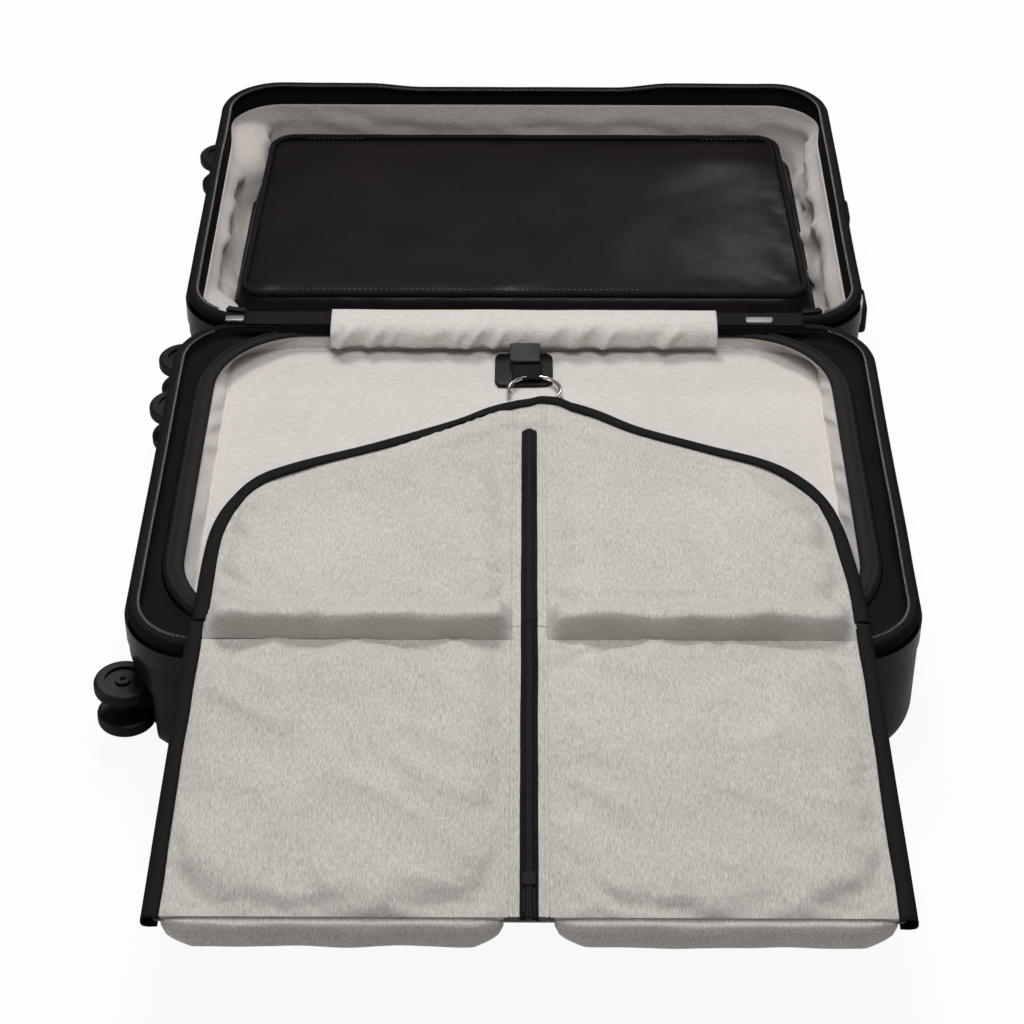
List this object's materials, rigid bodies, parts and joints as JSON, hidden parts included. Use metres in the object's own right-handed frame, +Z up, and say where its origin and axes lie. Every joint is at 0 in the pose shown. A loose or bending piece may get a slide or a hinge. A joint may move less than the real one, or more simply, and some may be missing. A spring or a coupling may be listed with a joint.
{
  "type": "suitcase",
  "caption": "Open hard-shell spinner suitcase with grey linings, zipped pocket, divider tray, folding garment bag, casters, carry handles and telescopic handle.",
  "frame": {"origin": "bottom centre of the open case's box, on the floor", "axes": "+X along the case from its casters to its handles, +Y from the near half to the far half, +Z up"},
  "size_m": [0.6974, 1.266, 0.1631],
  "materials": {
    "shell": "black polycarbonate, satin gloss",
    "trim": "black moulded strip",
    "tape": "black woven zip tape",
    "teeth": "bright zip teeth and tabs",
    "lining_black": "black lining cloth",
    "lining_grey": "warm grey heather lining cloth",
    "pocket": "dark nylon",
    "bag": "warm grey heather cloth",
    "binding": "black grosgrain binding",
    "hook": "polished steel wire",
    "patch": "black coated patch",
    "strap": "dark webbing",
    "housing": "black moulded plastic",
    "fork": "dark grey moulded plastic",
    "wheel": "black soft tread on a plastic hub",
    "steel": "plated steel",
    "tube": "anodised tube",
    "grip": "soft black grip",
    "button": "grey push button"
  },
  "bodies": {
    "near_half": {"near_shell": "shell", "near_edge_trim": "trim", "near_zip_tape": "tape", "near_zip_chain": "teeth", "near_lining": "lining_black", "tray_panel": "lining_grey", "tray_zip_band": "tape", "hinge_tape": "tape", "hinge_flap": "lining_grey", "hanger_patch": "patch", "hanger": "hook", "suiter_upper": "bag", "suiter_upper_binding": "binding", "suiter_upper_zip": "binding", "near_caster_housings": "housing"},
    "far_half": {"far_shell": "shell", "far_edge_trim": "trim", "far_zip_tape": "tape", "far_zip_chain": "teeth", "far_lining": "lining_grey", "far_pocket": "pocket", "far_caster_housings": "housing", "trolley_housing": "housing", "trolley_outer_tubes": "tube", "trolley_foot": "housing", "top_handle_caps": "housing", "side_handle_caps": "housing", "handle_screws": "steel"},
    "suiter_flap": {"suiter_lower": "bag", "suiter_lower_binding": "binding", "suiter_lower_zip": "binding"},
    "bag_zip_slider": {"suiter_zip_slider": "steel"},
    "bag_zip_puller": {"suiter_zip_puller": "steel"},
    "hook_strap": {"hanger_strap": "strap"},
    "trolley_mid": {"trolley_mid_tubes": "tube"},
    "trolley_inner": {"trolley_inner_tubes": "tube", "trolley_grip": "housing"},
    "trolley_push": {"trolley_button": "button"},
    "side_handle": {"side_handle_grip": "grip"},
    "top_handle": {"top_handle_grip": "grip"},
    "main_zip_left": {"main_zip_slider_left": "teeth", "main_zip_pull_left": "teeth"},
    "main_zip_right": {"main_zip_slider_right": "teeth", "main_zip_pull_right": "teeth"},
    "near_inner_caster": {"near_inner_fork": "fork", "near_inner_axle": "steel"},
    "near_inner_upper_wheel": {"near_inner_wheel_upper": "wheel"},
    "near_inner_lower_wheel": {"near_inner_wheel_lower": "wheel"},
    "near_outer_caster": {"near_outer_fork": "fork", "near_outer_axle": "steel"},
    "near_outer_upper_wheel": {"near_outer_wheel_upper": "wheel"},
    "near_outer_lower_wheel": {"near_outer_wheel_lower": "wheel"},
    "far_inner_caster": {"far_inner_fork": "fork", "far_inner_axle": "steel"},
    "far_inner_upper_wheel": {"far_inner_wheel_upper": "wheel"},
    "far_inner_lower_wheel": {"far_inner_wheel_lower": "wheel"},
    "far_outer_caster": {"far_outer_fork": "fork", "far_outer_axle": "steel"},
    "far_outer_upper_wheel": {"far_outer_wheel_upper": "wheel"},
    "far_outer_lower_wheel": {"far_outer_wheel_lower": "wheel"}
  },
  "joints": [
    {"name": "lid_fold", "type": "hinge", "parent": "near_half", "child": "far_half", "pos_m": [0.00575, 0.1435, 0.1405], "axis": [1, 0, 0], "range_deg": [0, 180], "deforming": ["hinge_tape", "hinge_flap", "far_pocket"]},
    {"name": "suiter_fold", "type": "hinge", "parent": "near_half", "child": "suiter_flap", "pos_m": [0.00575, -0.31, 0.1629], "axis": [-1, 0, 0], "range_deg": [0, 180]},
    {"name": "bag_zip_slide", "type": "slide", "parent": "suiter_flap", "child": "bag_zip_slider", "axis": [0, 1, 0], "range_m": [0, 0.268]},
    {"name": "bag_zip_flip", "type": "hinge", "parent": "bag_zip_slider", "child": "bag_zip_puller", "pos_m": [0.01075, -0.60195, 0.14875], "axis": [-1, 0, 0], "range_deg": [0, 90]},
    {"name": "hook_strap_lift", "type": "hinge", "parent": "near_half", "child": "hook_strap", "pos_m": [0.01075, 0.1045, 0.1124], "axis": [-1, 0, 0], "range_deg": [0, 60]},
    {"name": "trolley_stage_1", "type": "slide", "parent": "far_half", "child": "trolley_mid", "axis": [1, 0, 0], "range_m": [0, 0.36]},
    {"name": "trolley_stage_2", "type": "slide", "parent": "trolley_mid", "child": "trolley_inner", "axis": [1, 0, 0], "range_m": [0, 0.36]},
    {"name": "trolley_press", "type": "slide", "parent": "trolley_inner", "child": "trolley_push", "axis": [-1, 0, 0], "range_m": [0, 0.003], "stiffness_N_per_m": 300},
    {"name": "side_handle_pull", "type": "slide", "parent": "far_half", "child": "side_handle", "axis": [0, 1, 0], "range_m": [0, 0.009]},
    {"name": "top_handle_pull", "type": "slide", "parent": "far_half", "child": "top_handle", "axis": [1, 0, 0], "range_m": [0, 0.009]},
    {"name": "main_zip_left_run", "type": "hinge", "parent": "far_half", "child": "main_zip_left", "pos_m": [-0.25725, 0.207, 0.14], "axis": [0, 0, -1], "range_deg": [0, 70]},
    {"name": "main_zip_right_run", "type": "hinge", "parent": "far_half", "child": "main_zip_right", "pos_m": [0.26875, 0.207, 0.14], "axis": [0, 0, 1], "range_deg": [0, 70]},
    {"name": "near_inner_swivel", "type": "hinge", "parent": "near_half", "child": "near_inner_caster", "pos_m": [-0.29625, 0.092, 0.048], "axis": [1, 0, 0], "continuous": true},
    {"name": "near_inner_upper_spin", "type": "hinge", "parent": "near_inner_caster", "child": "near_inner_upper_wheel", "pos_m": [-0.32425, 0.104, 0.048], "axis": [0, 0, 1], "continuous": true},
    {"name": "near_inner_lower_spin", "type": "hinge", "parent": "near_inner_caster", "child": "near_inner_lower_wheel", "pos_m": [-0.32425, 0.104, 0.048], "axis": [0, 0, 1], "continuous": true},
    {"name": "near_outer_swivel", "type": "hinge", "parent": "near_half", "child": "near_outer_caster", "pos_m": [-0.29625, -0.278, 0.048], "axis": [1, 0, 0], "continuous": true},
    {"name": "near_outer_upper_spin", "type": "hinge", "parent": "near_outer_caster", "child": "near_outer_upper_wheel", "pos_m": [-0.32425, -0.29, 0.048], "axis": [0, 0, 1], "continuous": true},
    {"name": "near_outer_lower_spin", "type": "hinge", "parent": "near_outer_caster", "child": "near_outer_lower_wheel", "pos_m": [-0.32425, -0.29, 0.048], "axis": [0, 0, 1], "continuous": true},
    {"name": "far_inner_swivel", "type": "hinge", "parent": "far_half", "child": "far_inner_caster", "pos_m": [-0.29625, 0.195, 0.048], "axis": [1, 0, 0], "continuous": true},
    {"name": "far_inner_upper_spin", "type": "hinge", "parent": "far_inner_caster", "child": "far_inner_upper_wheel", "pos_m": [-0.32425, 0.183, 0.048], "axis": [0, 0, 1], "continuous": true},
    {"name": "far_inner_lower_spin", "type": "hinge", "parent": "far_inner_caster", "child": "far_inner_lower_wheel", "pos_m": [-0.32425, 0.183, 0.048], "axis": [0, 0, 1], "continuous": true},
    {"name": "far_outer_swivel", "type": "hinge", "parent": "far_half", "child": "far_outer_caster", "pos_m": [-0.29625, 0.565, 0.048], "axis": [1, 0, 0], "continuous": true},
    {"name": "far_outer_upper_spin", "type": "hinge", "parent": "far_outer_caster", "child": "far_outer_upper_wheel", "pos_m": [-0.32425, 0.577, 0.048], "axis": [0, 0, 1], "continuous": true},
    {"name": "far_outer_lower_spin", "type": "hinge", "parent": "far_outer_caster", "child": "far_outer_lower_wheel", "pos_m": [-0.32425, 0.577, 0.048], "axis": [0, 0, 1], "continuous": true}
  ],
  "couplings": [
    {"joint": "suiter_fold", "follows": "lid_fold", "ratio": 1}
  ]
}
